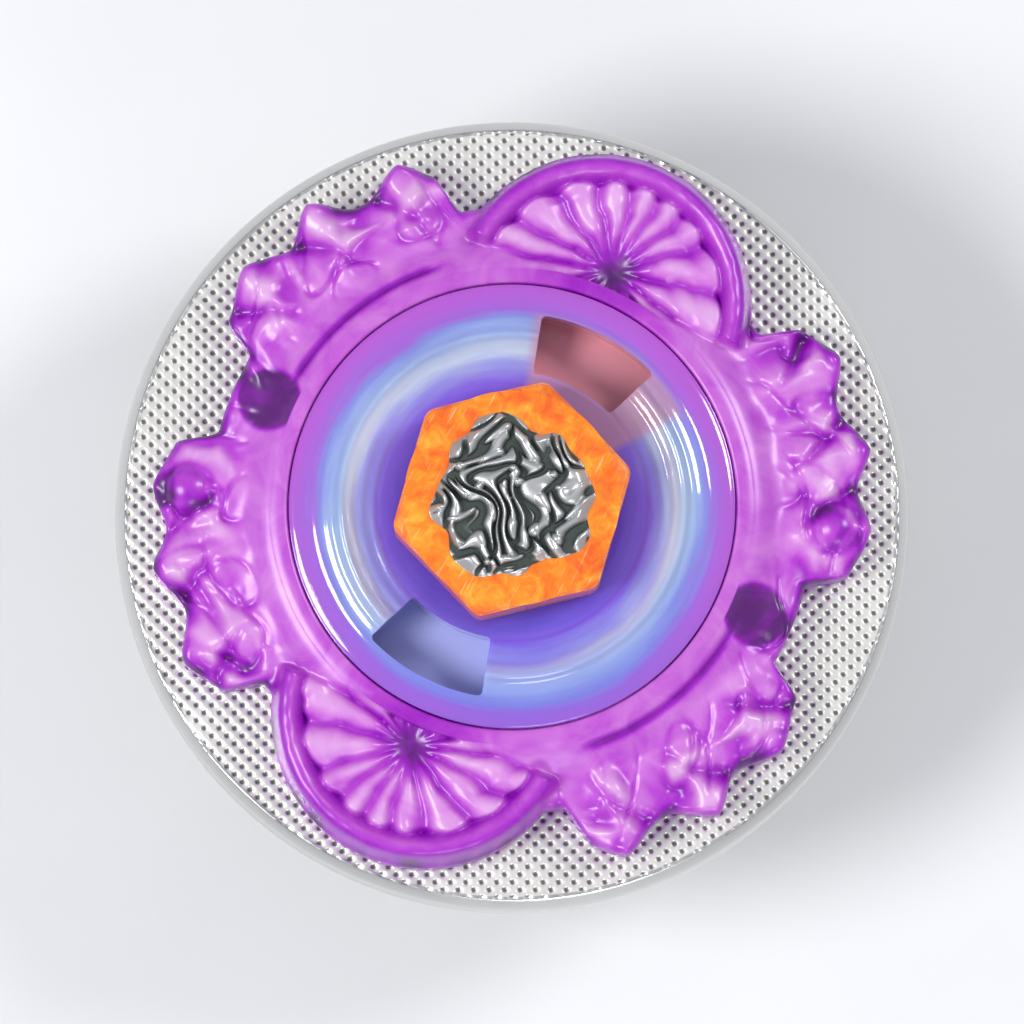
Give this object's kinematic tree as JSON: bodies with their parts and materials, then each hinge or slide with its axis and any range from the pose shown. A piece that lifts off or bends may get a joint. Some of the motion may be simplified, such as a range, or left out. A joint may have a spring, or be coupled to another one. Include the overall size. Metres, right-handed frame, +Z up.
{
  "type": "light up spinning top",
  "caption": "Hand-launched battle top with a hexagonal face bolt, a translucent sculpted ring, a dimpled metal wheel, a light module and a plated spin base.",
  "frame": {"origin": "centre of the flat end of the tip, where the top touches the floor", "axes": "+Z up along the spin axis, from the tip to the face bolt; the launcher wells lie on +Y and -Y"},
  "size_m": [0.06, 0.06, 0.0369],
  "materials": {
    "plated_base": "polished",
    "tip_steel": "satin",
    "wheel_silver": "satin",
    "ring_magenta": "gloss",
    "lens_blue": "gloss",
    "bolt_orange": "gloss",
    "spring_steel": "satin",
    "emblem_plated": "polished",
    "housing_black": "satin",
    "cover_clear": "gloss",
    "screw_steel": "satin",
    "board_green": "satin",
    "chip_black": "matte",
    "resistor_dark": "satin",
    "contact_brass": "satin",
    "frame_white": "satin",
    "weight_brass": "satin",
    "cell_steel": "satin",
    "lamp_blue": "gloss",
    "lamp_red": "gloss"
  },
  "bodies": {
    "base": {"spin_base": "plated_base", "tip": "tip_steel"},
    "wheel": {"metal_wheel": "wheel_silver", "module_housing": "housing_black", "module_cover": "cover_clear", "module_screws": "screw_steel", "circuit_board": "board_green", "flasher_chip": "chip_black", "resistors": "resistor_dark", "cell_strips": "contact_brass", "switch_frame": "frame_white", "switch_contact": "contact_brass", "led_blue_1": "lamp_blue", "led_red_1": "lamp_red", "led_blue_2": "lamp_blue", "led_red_2": "lamp_red", "button_cell_1": "cell_steel", "button_cell_2": "cell_steel", "button_cell_3": "cell_steel", "switch_spring": "spring_steel"},
    "weight": {"switch_weight": "weight_brass"},
    "ring": {"energy_ring": "ring_magenta"},
    "lens": {"light_lens": "lens_blue"},
    "bolt": {"face_bolt": "bolt_orange", "bolt_clip": "spring_steel", "face_emblem": "emblem_plated"}
  },
  "joints": [
    {"name": "wheel_lift", "type": "slide", "parent": "base", "child": "wheel", "axis": [0, 0, 1], "range_m": [0, 0.01]},
    {"name": "ring_lift", "type": "slide", "parent": "base", "child": "ring", "axis": [0, 0, 1], "range_m": [0, 0.017]},
    {"name": "lens_lift", "type": "slide", "parent": "base", "child": "lens", "axis": [0, 0, 1], "range_m": [0, 0.024]},
    {"name": "bolt_turn", "type": "hinge", "parent": "lens", "child": "bolt", "pos_m": [0, 0, 0.031], "axis": [0, 0, 1], "range_deg": [0, 2880]},
    {"name": "switch_slide", "type": "slide", "parent": "wheel", "child": "weight", "axis": [-0.866, 0.5, 0], "range_m": [0, 0.0019], "stiffness_N_per_m": 1.3, "springref_m": -0.0015, "deforming": ["switch_spring"]}
  ],
  "couplings": [
    {"joint": "ring_lift", "follows": "wheel_lift", "ratio": 1.7},
    {"joint": "lens_lift", "follows": "wheel_lift", "ratio": 2.4},
    {"joint": "bolt_turn", "follows": "wheel_lift", "rad_per_m": 5026.5}
  ]
}
